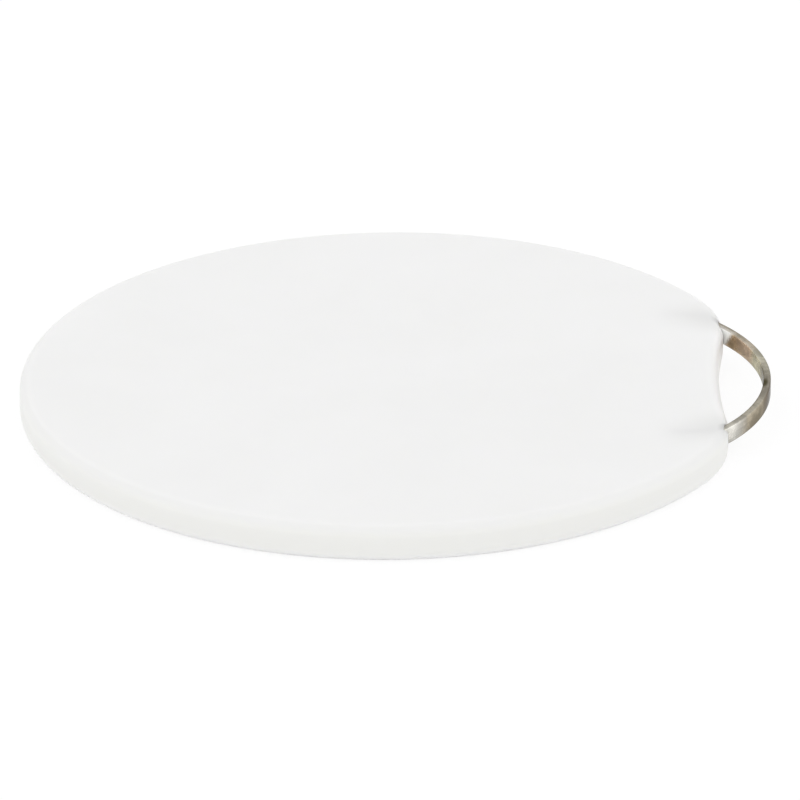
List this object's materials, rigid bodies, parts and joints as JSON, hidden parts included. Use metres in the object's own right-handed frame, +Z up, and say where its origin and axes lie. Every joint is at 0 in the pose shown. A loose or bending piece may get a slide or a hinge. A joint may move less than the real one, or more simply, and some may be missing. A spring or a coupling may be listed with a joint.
{
  "type": "cutting board",
  "caption": "Round white plastic cutting board with rounded edges and a bowed steel strip handle moulded into a shallow finger cut at one side.",
  "frame": {"origin": "centre of the round slab, on its underside", "axes": "+Z up out of the work face, +X out through the middle of the handle, +Y to the rear as pictured"},
  "size_m": [0.406, 0.4, 0.02],
  "materials": {
    "white_plastic": "satin white polyethylene",
    "handle_steel": "polished stainless strip",
    "pin_steel": "plain drawn rod"
  },
  "bodies": {
    "root": {"cutting_slab": "white_plastic", "strip_handle": "handle_steel", "rear_cross_pin": "pin_steel", "front_cross_pin": "pin_steel"}
  },
  "joints": []
}
